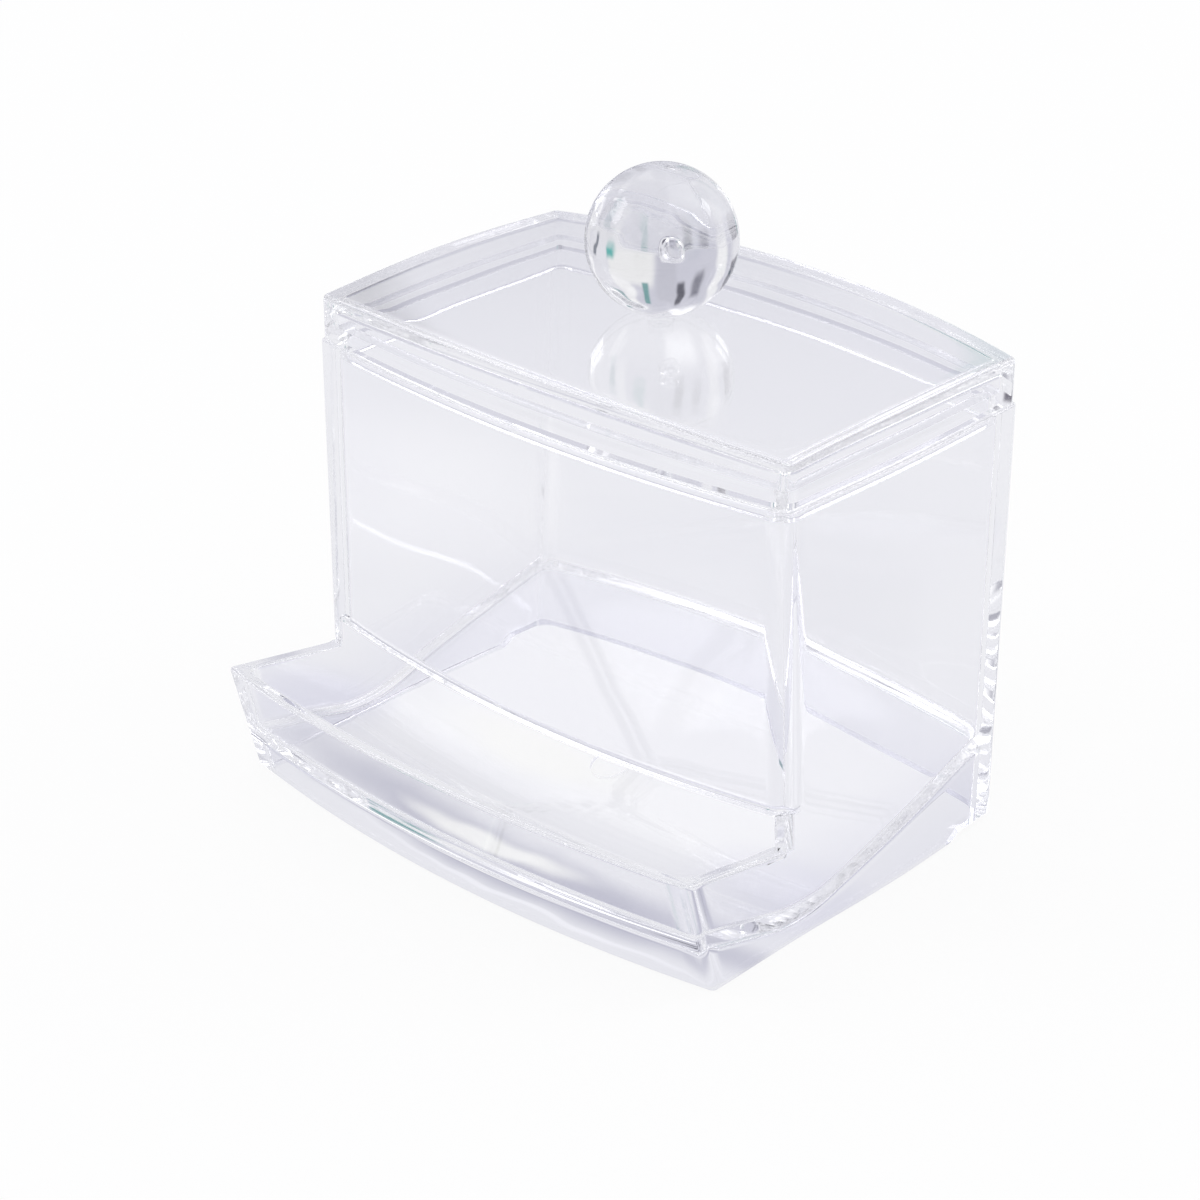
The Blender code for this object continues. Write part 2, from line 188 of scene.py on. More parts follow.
def slice_at(obj, axis, places):
    """Cuts a ring of edges into the mesh at each place along the axis."""
    normal = Vector((axis == "x", axis == "y", axis == "z"))

    def cut(bm):
        for place in places:
            geometry = bm.verts[:] + bm.edges[:] + bm.faces[:]
            bmesh.ops.bisect_plane(bm, geom=geometry, plane_co=normal * place, plane_no=normal,
                                   dist=SLICE_TOLERANCE)
    edit(obj, cut)


def fillet(obj, wanted, radius, segments=4, concave=False):
    """Rounds the sharp edges whose ends both satisfy wanted(x, y, z)."""
    def cut(bm):
        chosen = []
        for edge in bm.edges:
            turn = edge.calc_face_angle_signed()
            if (-turn if concave else turn) > SHARP_TURN and all(wanted(*v.co) for v in edge.verts):
                chosen.append(edge)
        bmesh.ops.bevel(bm, geom=chosen, offset=radius, segments=segments, profile=0.5,
                        affect="EDGES", offset_type="OFFSET", clamp_overlap=False)
        print("  fillet", obj.name, "edges:", len(chosen))
    edit(obj, cut)


def round_upright_corners(obj, radius, segments=8):
    def cut(bm):
        chosen = []
        for edge in bm.edges:
            along = edge.verts[0].co - edge.verts[1].co
            upright = abs(along.x) + abs(along.y) < abs(along.z) / 100
            if upright and edge.calc_face_angle() > SQUARE_TURN:
                chosen.append(edge)
        bmesh.ops.bevel(bm, geom=chosen, offset=radius, segments=segments, profile=0.5,
                        affect="EDGES", offset_type="OFFSET")
    edit(obj, cut)


# %% Cuts and measures
SAME_PLACE = 0.01 * MM


def combine(obj, others, operation="DIFFERENCE"):
    """Cuts the other objects out of obj, or joins them to it, and removes them."""
    for other in others:
        modifier = obj.modifiers.new(other.name, "BOOLEAN")
        modifier.operation = operation
        modifier.solver = "EXACT"
        modifier.object = other
    bpy.context.view_layer.update()
    evaluated = obj.evaluated_get(bpy.context.evaluated_depsgraph_get())
    mesh = bpy.data.meshes.new_from_object(evaluated)
    obj.modifiers.clear()
    obj.data = mesh
    for other in others:
        bpy.data.objects.remove(other, do_unlink=True)


def near(a, b):
    return abs(a - b) < SAME_PLACE


def even_places(low, high, count):
    return [low + (high - low) * i / count for i in range(count + 1)]


# %% [markdown]
# ## The floor
#
# Seen from the side, the floor is one bent sheet. It falls from the back wall as a ramp, turns
# through a soft valley under the hopper's front and climbs to the tray's front wall. The swabs come
# to rest in the valley. The sheet is drawn as a line with a thickness below it, and the same line
# makes the room above it and the hollow below it.

# %% The floor's line
FLOOR_THICKNESS = 2.2 * MM
VALLEY_HEIGHT = 3.7 * MM
VALLEY_SETBACK = 5.5 * MM
VALLEY_ROUNDING = 7.0 * MM
RAMP_TOP_HEIGHT = 15.2 * MM
TRAY_FLOOR_FRONT_HEIGHT = 9.0 * MM


def floor_line(lowered, points_in_valley=17):
    """The floor in the side view, from the tray's front wall to the hopper's back wall."""
    front = Vector((WALL - TRAY_REACH, TRAY_FLOOR_FRONT_HEIGHT))
    low = Vector((VALLEY_SETBACK, VALLEY_HEIGHT))
    back = Vector((HOPPER_DEPTH - WALL, RAMP_TOP_HEIGHT))
    start = low.lerp(front, VALLEY_ROUNDING / (low.x - front.x))
    end = low.lerp(back, VALLEY_ROUNDING / (back.x - low.x))
    points = [front]
    for i in range(points_in_valley):
        t = i / (points_in_valley - 1)
        points.append(start.lerp(low, t).lerp(low.lerp(end, t), t))
    points.append(back)
    return [(p.x, p.y - lowered) for p in points]


def on_floor_line(lowered):
    """A test for points that lie on the floor's line."""
    line = floor_line(lowered)

    def test(x, y, z):
        for (y0, z0), (y1, z1) in zip(line, line[1:]):
            if y0 - SAME_PLACE <= y <= y1 + SAME_PLACE:
                return near(z, z0 + (z1 - z0) * (y - y0) / (y1 - y0))
        return False
    return test


print("ramp slope:", (RAMP_TOP_HEIGHT - VALLEY_HEIGHT) / (HOPPER_DEPTH - WALL - VALLEY_SETBACK))

# %% [markdown]
# ## The body
#
# The hopper, the tray and the floor come out of one mould, so they are one mesh. A solid block
# with the outline of the side view is cut twice: once by the room for the swabs, once by the hollow
# under the floor. The cutters carry their own rounded corners, which become the fillets inside.

# %% Cut the body
OUTER_CORNER = 1.0 * MM
INNER_CORNER = 2.4 * MM
FLOOR_FILLET = 1.2 * MM
OVERRUN = 1.0 * MM
RELIEF_HEIGHT = 1.5 * MM
RELIEF_SLOPE = 2.8 * MM
RELIEF_LENGTH = 11.5 * MM
GATE_SETBACK = 17.0 * MM
GATE_RADIUS = 3.0 * MM
GATE_DEPTH = 0.6 * MM


def swab_room():
    outline = floor_line(0.0)
    outline += [(HOPPER_DEPTH - WALL, BODY_HEIGHT + OVERRUN), (WALL, BODY_HEIGHT + OVERRUN),
                (WALL, SLOT_TOP), (WALL - TRAY_REACH, SLOT_TOP)]
    room = block_from_side_view("swab_room", outline, HALF_WIDTH - WALL)
    slice_at(room, "z", [SLOT_TOP])
    round_upright_corners(room, INNER_CORNER)
    fillet(room, on_floor_line(0.0), FLOOR_FILLET)
    return room


def hollow_below():
    outline = [(HOPPER_DEPTH - WALL, -OVERRUN), (WALL - TRAY_REACH, -OVERRUN)]
    outline += floor_line(FLOOR_THICKNESS)
    hollow = block_from_side_view("hollow_below", outline, HALF_WIDTH - WALL)
    round_upright_corners(hollow, INNER_CORNER)
    fillet(hollow, on_floor_line(FLOOR_THICKNESS), FLOOR_FILLET)
    return hollow


def foot_relief():
    """The low gap under the back wall and the rear ends of the side walls."""
    front, back = HOPPER_DEPTH - RELIEF_LENGTH, HOPPER_DEPTH + OVERRUN
    outline = [(front - RELIEF_SLOPE * OVERRUN / RELIEF_HEIGHT, -OVERRUN), (back, -OVERRUN),
               (back, RELIEF_HEIGHT), (front + RELIEF_SLOPE, RELIEF_HEIGHT)]
    return block_from_side_view("foot_relief", outline, HALF_WIDTH + OVERRUN)


def gate_mark():
    """The shallow round print of the mould's inlet, square to the ramp's underside."""
    run, rise = HOPPER_DEPTH - WALL - VALLEY_SETBACK, RAMP_TOP_HEIGHT - VALLEY_HEIGHT
    underside = VALLEY_HEIGHT + rise * (GATE_SETBACK - VALLEY_SETBACK) / run - FLOOR_THICKNESS
    place = Matrix.Translation((0.0, GATE_SETBACK, underside))
    place = place @ Matrix.Rotation(math.atan2(rise, run), 4, "X")
    bm = bmesh.new()
    bmesh.ops.create_cone(bm, cap_ends=True, segments=48, radius1=GATE_RADIUS, radius2=GATE_RADIUS,
                          depth=2 * GATE_DEPTH, matrix=place)
    return new_object("gate_mark", bm)


body = block_from_side_view("body_moulding", [
    (-TRAY_REACH, 0.0), (HOPPER_DEPTH, 0.0), (HOPPER_DEPTH, BODY_HEIGHT),
    (0.0, BODY_HEIGHT), (0.0, SIDE_RIM_HEIGHT), (-TRAY_REACH, LIP_HEIGHT)], HALF_WIDTH)
slice_at(body, "z", [SIDE_RIM_HEIGHT])
round_upright_corners(body, OUTER_CORNER)
combine(body, [swab_room(), hollow_below(), foot_relief(), gate_mark()])
print("body after cutting:", len(body.data.polygons), "faces")


# %% [markdown]
# The free edges come next. The tray's lip and the slot's edge, which fingers touch, are fully
# rounded. The hopper's rim, which the lid hides, is only eased, and the foot has a small round
# outside. The edges are still straight here, so a height is enough to choose them.

# %% Round the free edges of the body
LIP_ROUNDING = 0.8 * MM
RIM_ROUNDING = 0.4 * MM
FOOT_ROUNDING = 0.8 * MM
SLOT_EDGE_ROUNDING = 1.15 * MM


def on_tray_rim(x, y, z):
    height = SIDE_RIM_HEIGHT - (LIP_HEIGHT - SIDE_RIM_HEIGHT) * y / TRAY_REACH
    return y < WALL / 2 and near(z, height)


def on_outer_foot(x, y, z):
    edge_band = OUTER_CORNER + RIM_ROUNDING
    return near(z, 0.0) and (abs(x) > HALF_WIDTH - edge_band or y < edge_band - TRAY_REACH)


def on_slot_edge(x, y, z):
    return near(z, SLOT_TOP) and abs(x) < HALF_WIDTH - WALL


fillet(body, lambda x, y, z: near(z, BODY_HEIGHT), RIM_ROUNDING)
fillet(body, on_outer_foot, FOOT_ROUNDING)
fillet(body, on_tray_rim, LIP_ROUNDING, segments=6)
fillet(body, on_slot_edge, SLOT_EDGE_ROUNDING, segments=8)

# %% [markdown]
# Now the bend. It can only move points that exist, so the walls are first sliced finely enough
# that a bowed wall looks smooth. The normals are weighted by face size afterwards. Without that,
# the wide flat walls would borrow the slant of their narrow fillets and bend light like a lens.


# %% Bend the body and smooth its shading
SLICES_ACROSS = 56
BODY_SLICES_DEEP = 40


def shape(obj, formula):
    for vertex in obj.data.vertices:
        vertex.co = formula(vertex.co)


def smooth(obj, sharp_degrees=35):
    obj.data.shade_smooth()
    obj.data.set_sharp_from_angle(angle=math.radians(sharp_degrees))
    modifier = obj.modifiers.new("weighted_normals", "WEIGHTED_NORMAL")
    modifier.mode = "FACE_AREA"
    modifier.weight = 50
    modifier.keep_sharp = True


slice_at(body, "x", even_places(-HALF_WIDTH, HALF_WIDTH, SLICES_ACROSS))
slice_at(body, "y", even_places(WALL - TRAY_REACH, HOPPER_DEPTH, BODY_SLICES_DEEP) + [0.0])
shape(body, bend)
smooth(body)
print("body:", len(body.data.polygons), "faces")

# %% [markdown]
# ## The lid
#
# The lid is a shallow cap. Its skirt stands a little inside the hopper's outer faces, a rib drops
# into the hopper's mouth and keeps the lid from sliding, and the panel on top swells into a low
# dome. It is drawn straight like the body, domed by a second formula and bent by the first.

# %% Sizes of the lid
LID_INSET = 0.4 * MM
LID_HEIGHT = 6.7 * MM
LID_WALL = 2.4 * MM
LID_CORNER = 0.9 * MM
LID_EDGE_ROUNDING = 0.7 * MM
LID_CEILING_FILLET = 0.6 * MM
LID_CROWN_ACROSS = 1.4 * MM
LID_CROWN_DEEP = 0.8 * MM
SEAT_GAP = 0.3 * MM
RIB_CLEARANCE = 0.4 * MM
RIB_THICKNESS = 2.0 * MM
RIB_DROP = 2.7 * MM
RIB_ROOT_HEIGHT = 1.8 * MM
LID_SEAT = BODY_HEIGHT + SEAT_GAP
LID_TOP = LID_SEAT + LID_HEIGHT
LID_CEILING = LID_TOP - LID_WALL
CROWN_TOP = LID_TOP + LID_CROWN_ACROSS + LID_CROWN_DEEP
RIB_FOOT = BODY_HEIGHT - RIB_DROP


# %% Cut the lid
def lid_layer(name, inset, corner, low, high):
    """One level of the lid, drawn in from the lid's outer faces by inset."""
    edge = LID_INSET + inset
    outline = [(edge, low), (HOPPER_DEPTH - edge, low), (HOPPER_DEPTH - edge, high), (edge, high)]
    layer = block_from_side_view(name, outline, HALF_WIDTH - edge)
    round_upright_corners(layer, corner)
    return layer


rib_inset = WALL - LID_INSET + RIB_CLEARANCE
recess_foot = LID_SEAT + RIB_ROOT_HEIGHT
lid = lid_layer("lid_moulding", 0.0, LID_CORNER, LID_SEAT, LID_TOP)
rib = lid_layer("rib", rib_inset, INNER_CORNER - RIB_CLEARANCE,
                RIB_FOOT, LID_SEAT + RIB_ROOT_HEIGHT / 2)
throat = lid_layer("throat", rib_inset + RIB_THICKNESS, LID_CORNER,
                   RIB_FOOT - OVERRUN, LID_CEILING - OVERRUN)
recess = lid_layer("recess", LID_WALL, LID_CORNER, recess_foot, LID_CEILING)
combine(lid, [rib], "UNION")
combine(lid, [throat, recess])
fillet(lid, lambda x, y, z: near(z, LID_TOP), LID_EDGE_ROUNDING, segments=5)
fillet(lid, lambda x, y, z: near(z, RIB_FOOT), RIM_ROUNDING)
fillet(lid, lambda x, y, z: near(z, LID_CEILING), LID_CEILING_FILLET, concave=True)
print("lid after cutting:", len(lid.data.polygons), "faces")


# %% Dome and bend the lid
LID_SLICES_DEEP = 32


def dome(point):
    """Lifts the panel into a low dome and leaves the seat flat."""
    x, y, z = point
    lift = share_between(z, LID_SEAT, LID_CEILING)
    across = max(1 - (x / HALF_WIDTH) ** 2, 0.0)
    deep = max(1 - (2 * y / HOPPER_DEPTH - 1) ** 2, 0.0)
    return Vector((x, y, z + lift * (LID_CROWN_ACROSS * across + LID_CROWN_DEEP * deep)))


slice_at(lid, "x", even_places(-HALF_WIDTH, HALF_WIDTH, SLICES_ACROSS))
slice_at(lid, "y", even_places(0.0, HOPPER_DEPTH, LID_SLICES_DEEP))
shape(lid, dome)
shape(lid, bend)

# %% [markdown]
# A short post stands in the middle of the panel and carries the ball. It is turned like a piece on
# a lathe: a profile of (radius, height) points, spun about its axis. The ball is turned the same
# way, with the bore for the post left open in its underside.
#
# A thick moulding cools from the outside in, and its core often shrinks away from itself and leaves
# a small bubble. The ball has one near its middle. It is cut out as a second closed shell, so light
# bends at it as it does at a real bubble.

# %% Sizes of the post and the ball
KNOB_SETBACK = 25.8 * MM
BALL_RADIUS = 11.25 * MM
BALL_FLAT_RADIUS = 3.0 * MM
BORE_RADIUS = 2.0 * MM
BORE_DEPTH = 3.6 * MM
POST_RADIUS = BORE_RADIUS - SEAT_GAP
POST_HEIGHT = 2.8 * MM
POST_ROUNDING = 0.5 * MM
BUBBLE_RADIUS = 1.3 * MM
BUBBLE_TO_THE_RIGHT = 0.9 * MM
BUBBLE_TO_THE_BACK = 0.3 * MM
BUBBLE_BELOW_CENTRE = 1.0 * MM
ON_AXIS = 0.001 * MM


# %% Turning
def turned(name, profile, place, steps=96):
    """A round piece from a profile of (radius, height) points that starts and ends on the axis."""
    bm = bmesh.new()
    rings = []
    for radius, height in profile:
        centre = Vector((place.x, place.y, place.z + height))
        if radius < ON_AXIS:
            rings.append([bm.verts.new(centre)])
            continue
        angles = [2 * math.pi * i / steps for i in range(steps)]
        rings.append([bm.verts.new(centre + Vector((radius * math.cos(a), radius * math.sin(a), 0)))
                      for a in angles])
    for upper, lower in zip(rings, rings[1:]):
        for i in range(steps):
            j = (i + 1) % steps
            corners = [upper[i % len(upper)], upper[j % len(upper)],
                       lower[j % len(lower)], lower[i % len(lower)]]
            bm.faces.new(list(dict.fromkeys(corners)))
    bmesh.ops.recalc_face_normals(bm, faces=bm.faces)
    return new_object(name, bm)


def arc(centre_height, radius, start, end, count, centre_radius=0.0):
    """(radius, height) points of an arc, with angles in degrees up from the horizontal."""
    angles = [math.radians(start + (end - start) * i / (count - 1)) for i in range(count)]
    return [(centre_radius + radius * math.cos(a), centre_height + radius * math.sin(a))
            for a in angles]


# %% The post
knob_axis = Vector((0.0, HOPPER_FRONT_Y + KNOB_SETBACK, 0.0))
post_top = CROWN_TOP + POST_HEIGHT
post_profile = [(0.0, post_top)]
post_profile += arc(post_top - POST_ROUNDING, POST_ROUNDING, 90, 0, 5, POST_RADIUS - POST_ROUNDING)
post_profile += [(POST_RADIUS, CROWN_TOP - LID_WALL / 2), (0.0, CROWN_TOP - LID_WALL / 2)]
combine(lid, [turned("post", post_profile, knob_axis, steps=64)], "UNION")
smooth(lid)
print("lid:", len(lid.data.polygons), "faces")

# %% The ball and its bubble
flat_depth = math.sqrt(BALL_RADIUS ** 2 - BALL_FLAT_RADIUS ** 2)
flat_angle = -math.degrees(math.asin(flat_depth / BALL_RADIUS))
ball_profile = [(0.0, flat_depth + BALL_RADIUS)]
ball_profile += arc(flat_depth, BALL_RADIUS, 90, flat_angle, 64)[1:]
ball_profile += [(BORE_RADIUS, 0.0), (BORE_RADIUS, BORE_DEPTH / 2)]
ball_profile += arc(BORE_DEPTH - BORE_RADIUS, BORE_RADIUS, 0, 90, 14)[:-1]
ball_profile += [(0.0, BORE_DEPTH)]
ball_place = knob_axis + Vector((0.0, 0.0, CROWN_TOP + SEAT_GAP))
ball = turned("ball_knob", ball_profile, ball_place)
bubble_place = ball_place + Vector((BUBBLE_TO_THE_RIGHT, BUBBLE_TO_THE_BACK,
                                    flat_depth - BUBBLE_BELOW_CENTRE))
bubble_profile = arc(0.0, BUBBLE_RADIUS, 90, -90, 20)
combine(ball, [turned("shrink_bubble", bubble_profile, bubble_place, steps=40)])
smooth(ball)
print("ball:", len(ball.data.polygons), "faces")

# %% [markdown]
# ## Clear moulded plastic
#
# A clear moulding is never perfectly even. Melt that met in the mould leaves long faint waves, the
# polish varies a little, and the tint drifts. One node group makes these three values from the
# object's own coordinates, and each material places it with its own strengths.
#
# On low upright walls the group deepens the tint as painted shade, for the object's own shadow
# over the tray and the foot. The ball is thick, and thick mouldings sink unevenly. Its waves are
# higher and closer together, which makes the upright streaks in it sway.


# %% Helpers for node trees
def add_node(tree, kind, settings=None, values=None):
    """A new node with its settings (attributes) and values (unlinked inputs)."""
    node = tree.nodes.new(kind)
    for key, value in (settings or {}).items():
        setattr(node, key, value)
    for key, value in (values or {}).items():
        node.inputs[key].default_value = value
    return node


def join(tree, *pairs):
    for source, target in pairs:
        tree.links.new(source, target)


def math_node(tree, operation, first, second=None, third=None):
    """A Math node. Each operand is a number or another node's output."""
    node = add_node(tree, "ShaderNodeMath", {"operation": operation})
    for socket, operand in zip(node.inputs, (first, second, third)):
        if isinstance(operand, (int, float)):
            socket.default_value = operand
        elif operand is not None:
            tree.links.new(operand, socket)
    return node.outputs[0]


# %% The node group for moulded surfaces
def moulded_surface_group():
    group = bpy.data.node_groups.new("moulded_surface", "ShaderNodeTree")
    for name, value in (("Waves Per Metre", 55.0), ("Smudge", 0.02), ("Base Roughness", 0.012),
                        ("Painted Shade Below", 0.001)):
        socket = group.interface.new_socket(name, in_out="INPUT", socket_type="NodeSocketFloat")
        socket.default_value = value
    for name in ("Tint", "Drift And Shade Tint"):
        group.interface.new_socket(name, in_out="INPUT", socket_type="NodeSocketColor")
    group.interface.new_socket("Colour", in_out="OUTPUT", socket_type="NodeSocketColor")
    group.interface.new_socket("Roughness", in_out="OUTPUT", socket_type="NodeSocketFloat")
    group.interface.new_socket("Height", in_out="OUTPUT", socket_type="NodeSocketFloat")
    given = add_node(group, "NodeGroupInput")
    result = add_node(group, "NodeGroupOutput")
    texture_place = add_node(group, "ShaderNodeTexCoord")
    place = texture_place.outputs["Object"]

    waves = add_node(group, "ShaderNodeTexNoise", values={"Detail": 1.0, "Roughness": 0.35})
    join(group, (place, waves.inputs["Vector"]),
         (given.outputs["Waves Per Metre"], waves.inputs["Scale"]),
         (waves.outputs["Fac"], result.inputs["Height"]))

    smudges = add_node(group, "ShaderNodeTexNoise", values={"Scale": 140.0, "Detail": 5.0})
    join(group, (place, smudges.inputs["Vector"]))
    polish = math_node(group, "MULTIPLY_ADD", smudges.outputs["Fac"], given.outputs["Smudge"],
                       given.outputs["Base Roughness"])
    join(group, (polish, result.inputs["Roughness"]))

    drift = add_node(group, "ShaderNodeTexNoise", values={"Scale": 22.0, "Detail": 2.0})
    parts = add_node(group, "ShaderNodeSeparateXYZ")
    # Painted shade: upright faces take the darker tint more and more towards the bottom, for the
    # object's own shadow over its low walls.
    low = add_node(group, "ShaderNodeMapRange", {"interpolation_type": "SMOOTHSTEP"},
                   {"From Min": 0.0, "To Min": 1.0, "To Max": 0.0})
    join(group, (place, drift.inputs["Vector"]), (place, parts.inputs[0]),
         (parts.outputs["Z"], low.inputs["Value"]),
         (given.outputs["Painted Shade Below"], low.inputs["From Max"]))
    facing = add_node(group, "ShaderNodeSeparateXYZ")
    join(group, (texture_place.outputs["Normal"], facing.inputs[0]))
    upright = math_node(group, "SUBTRACT", 1.0, math_node(group, "ABSOLUTE", facing.outputs["Z"]))
    painted_low_wall_shade = math_node(group, "MULTIPLY", upright, low.outputs["Result"])
    cloudy = math_node(group, "MULTIPLY_ADD", drift.outputs["Fac"], 0.4, -0.1)
    # The darker tint takes the stronger of the random drift and the painted shade of low walls.
    depth = math_node(group, "MAXIMUM", cloudy, painted_low_wall_shade)
    tint = add_node(group, "ShaderNodeMix", {"data_type": "RGBA"})
    join(group, (depth, tint.inputs["Factor"]),
         (given.outputs["Tint"], tint.inputs["A"]), (given.outputs["Drift And Shade Tint"], tint.inputs["B"]),
         (tint.outputs["Result"], result.inputs["Colour"]))
    return group


surface_group = moulded_surface_group()
print("group", surface_group.name, "has", len(surface_group.nodes), "nodes")


# %% The clear materials
IOR_OF_CLEAR_PLASTIC = 1.53


def clear_plastic(name, tint, drift_and_shade_tint, painted_shade_below=1.0 * MM, waves_per_metre=55.0,
                  wave_height=0.06 * MM, smudge=0.02):
    material = bpy.data.materials.new(name)
    material.use_nodes = True
    tree = material.node_tree
    shader = tree.nodes["Principled BSDF"]
    shader.inputs["Transmission Weight"].default_value = 1.0
    shader.inputs["Metallic"].default_value = 0.0
    shader.inputs["IOR"].default_value = IOR_OF_CLEAR_PLASTIC
    surface = add_node(tree, "ShaderNodeGroup", {"node_tree": surface_group},
                       {"Tint": (*tint, 1.0), "Drift And Shade Tint": (*drift_and_shade_tint, 1.0),
                        "Painted Shade Below": painted_shade_below, "Waves Per Metre": waves_per_metre,
                        "Smudge": smudge})
    relief = add_node(tree, "ShaderNodeBump", values={"Strength": 1.0, "Distance": wave_height})
    join(tree, (surface.outputs["Colour"], shader.inputs["Base Color"]),
         (surface.outputs["Roughness"], shader.inputs["Roughness"]),
         (surface.outputs["Height"], relief.inputs["Height"]),
         (relief.outputs["Normal"], shader.inputs["Normal"]))
    return material


# The body's upright walls below 24 mm take the darker tint as painted shade.
body_plastic = clear_plastic("clear_body_plastic", (0.985, 0.985, 0.995), (0.88, 0.88, 0.93),
                             painted_shade_below=24 * MM)
lid_plastic = clear_plastic("clear_lid_plastic", (0.985, 0.985, 0.995), (0.945, 0.945, 0.97))
knob_plastic = clear_plastic("clear_knob_plastic", (0.865, 0.865, 0.885), (0.825, 0.825, 0.855),
                             waves_per_metre=170.0, wave_height=0.8 * MM, smudge=0.06)
for plastic in (body_plastic, lid_plastic, knob_plastic):
    print(plastic.name, "has", len(plastic.node_tree.nodes), "nodes")

# %% [markdown]
# ## Hand the pieces to the frame
#
# Each moulding stands for its CAD solid and rides on that solid's body. The CAD solids keep a
# matching material too, although they aren't shown.

# %% Ride and replace
for piece, node, moving_body, material in (
        (body, "body", "holder", body_plastic),
        (lid, "lid", "cover", lid_plastic),
        (ball, "knob", "cover", knob_plastic)):
    piece.data.materials.clear()
    piece.data.materials.append(material)
    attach(piece, moving_body)
    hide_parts(node)
    solid = frame["nodes"][node]
    solid.data.materials.clear()
    solid.data.materials.append(material)
    print(piece.name, "rides on", moving_body, "and stands for the solid", node)

# %% [markdown]
# ## Floor, sky and lamps
#
# Clear plastic shows its surroundings and little else. A room that is white all round would make it
# vanish, so the studio needs light and dark places. The floor is white paper. Seen directly it
# stays near white. Seen through the plastic it keeps more of its own shading, so that the tray and
# the foot, which stand in the object's own shadow, come out darker than the hopper.
#
# Bent walls also gather light into bright spots on the paper and leave dark ones beside them. Path
# tracing finds those spots only slowly, so soft patches of colour on the paper stand for them. They
# show only in reflections and through the plastic.
#
# The ball sees the room upside down, and an endless sheet of paper would be a bright band through
# its middle. A real table ends, so for reflected and bent rays this paper fades out about 30 cm
# away, and the sky goes on below the horizon.

# %% The patches on the paper
PAPER_THROUGH_PLASTIC = (0.875, 0.877, 0.903)
PATCH_WOBBLE = 5 * MM
PATCH_SOFTNESS = 0.7
# (x, y, half length, half width in mm, turn in degrees, colour), from under to over. The y is
# measured with the front's bow taken out, so that a long patch follows the tray's front wall.
PATCHES = [(-122, 54, 60, 40, 0, (0.94, 0.94, 0.96)), (-58, -10, 20, 14, 0, (0.79, 0.79, 0.86)),
           (37, -3, 18, 14, 0, (0.80, 0.80, 0.86)), (0, -20, 70, 6.5, 0, (0.48, 0.48, 0.58)),
           (12, -25.7, 48, 0.8, 0, (0.97, 0.97, 1.0)), (-3, -18.8, 24, 2.8, 3, (1.15, 1.15, 1.08)),
           (-17, 4.5, 24, 9, 5, (0.90, 0.90, 0.89)), (-11, 40, 20, 7, 108, (0.90, 0.90, 0.92))]


def light_path_share(tree, camera_share, glossy_share, transmission_share):
    """A number that depends on what kind of ray arrives."""
    path = add_node(tree, "ShaderNodeLightPath")
    share = math_node(tree, "MULTIPLY", path.outputs["Is Camera Ray"], camera_share)
    share = math_node(tree, "MULTIPLY_ADD", path.outputs["Is Glossy Ray"], glossy_share, share)
    share = math_node(tree, "MULTIPLY_ADD", path.outputs["Is Transmission Ray"], transmission_share,
                      share)
    return math_node(tree, "MINIMUM", share, 1.0)


def floor_seen_through_plastic(tree):
    """The paper's colour behind clear plastic, with soft patches of gathered or missing light."""
    colour = add_node(tree, "ShaderNodeRGB").outputs[0]
    colour.default_value = (*PAPER_THROUGH_PLASTIC, 1.0)
    place = add_node(tree, "ShaderNodeTexCoord").outputs["Object"]
    wobble = add_node(tree, "ShaderNodeTexNoise", values={"Scale": 70.0, "Detail": 1.0})
    centred = add_node(tree, "ShaderNodeVectorMath", {"operation": "SUBTRACT"},
                       {1: (0.5, 0.5, 0.5)})
    wobbled = add_node(tree, "ShaderNodeVectorMath", {"operation": "MULTIPLY_ADD"},
                       {1: (PATCH_WOBBLE, PATCH_WOBBLE, 0.0)})
    parts = add_node(tree, "ShaderNodeSeparateXYZ")
    across = math_node(tree, "DIVIDE", parts.outputs["X"], HALF_WIDTH)
    across_squared = math_node(tree, "MULTIPLY", across, across)
    bow_share = math_node(tree, "MAXIMUM", math_node(tree, "SUBTRACT", 1.0, across_squared), 0.0)
    bow = add_node(tree, "ShaderNodeCombineXYZ")
    shifted = add_node(tree, "ShaderNodeVectorMath", {"operation": "ADD"})
    join(tree, (place, wobble.inputs["Vector"]), (wobble.outputs["Color"], centred.inputs[0]),
         (centred.outputs[0], wobbled.inputs[0]), (place, wobbled.inputs[2]),
         (place, parts.inputs[0]),
         (math_node(tree, "MULTIPLY", bow_share, FOOT_FRONT_BOW), bow.inputs["Y"]),
         (wobbled.outputs[0], shifted.inputs[0]), (bow.outputs[0], shifted.inputs[1]))
    for x, y, half_length, half_width, turn, patch_colour in PATCHES:
        spot = add_node(tree, "ShaderNodeMapping", {"vector_type": "TEXTURE"},
                        {"Location": (x * MM, y * MM, 0.0),
                         "Rotation": (0.0, 0.0, math.radians(turn)),
                         "Scale": (half_length * MM, half_width * MM, 1.0)})
        blob = add_node(tree, "ShaderNodeTexGradient", {"gradient_type": "SPHERICAL"})
        soft = add_node(tree, "ShaderNodeMapRange", {"interpolation_type": "SMOOTHSTEP"},
                        {"From Max": PATCH_SOFTNESS})
        layer = add_node(tree, "ShaderNodeMix", {"data_type": "RGBA"}, {"B": (*patch_colour, 1.0)})
        join(tree, (shifted.outputs[0], spot.inputs["Vector"]), (spot.outputs[0], blob.inputs[0]),
             (blob.outputs["Fac"], soft.inputs["Value"]),
             (soft.outputs["Result"], layer.inputs["Factor"]), (colour, layer.inputs["A"]))
        colour = layer.outputs["Result"]
    return colour


# %% The paper floor
GLOW_SEEN_DIRECTLY = 0.92
GLOW_THROUGH_PLASTIC = 0.72
TABLE_FADES_FROM = 0.28
TABLE_ENDS_AT = 0.38
FLOOR_HALF_SIZE = 3.0


